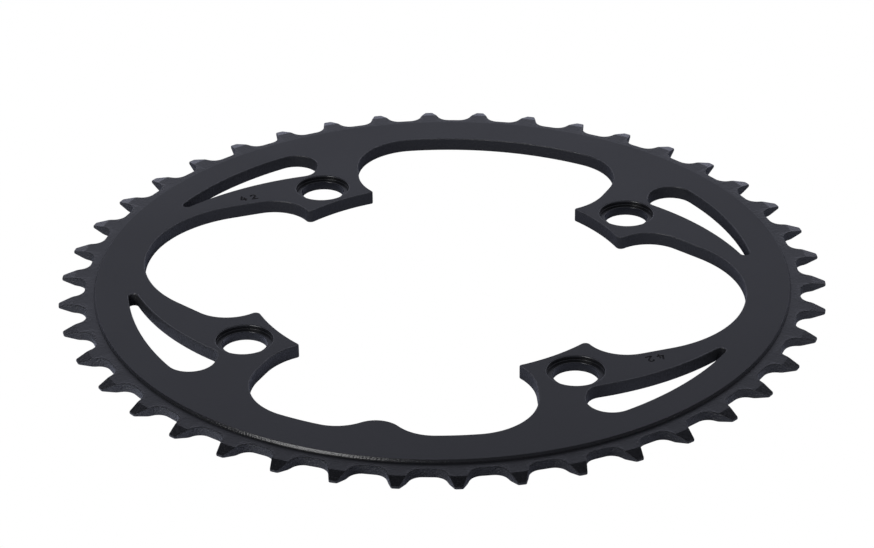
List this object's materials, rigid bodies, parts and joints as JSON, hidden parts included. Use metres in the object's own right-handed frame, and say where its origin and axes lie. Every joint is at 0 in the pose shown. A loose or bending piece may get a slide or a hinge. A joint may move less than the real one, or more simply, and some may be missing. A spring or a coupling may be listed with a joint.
{
  "type": "bicycle chainring",
  "caption": "Flat toothed ring with inward bolt tabs, windows beside the tabs and a stepped, tapered edge; carries a bicycle chain on a crank.",
  "frame": {"origin": "on the ring's axis, at the back face that it rests on", "axes": "+Z along the axis, out of the face with the counterbores; -Y towards the bump on the inner edge"},
  "size_m": [0.1738, 0.1736, 0.0032],
  "materials": {
    "black_anodised": "satin black anodised"
  },
  "bodies": {
    "root": {"chainring": "black_anodised"}
  },
  "joints": []
}
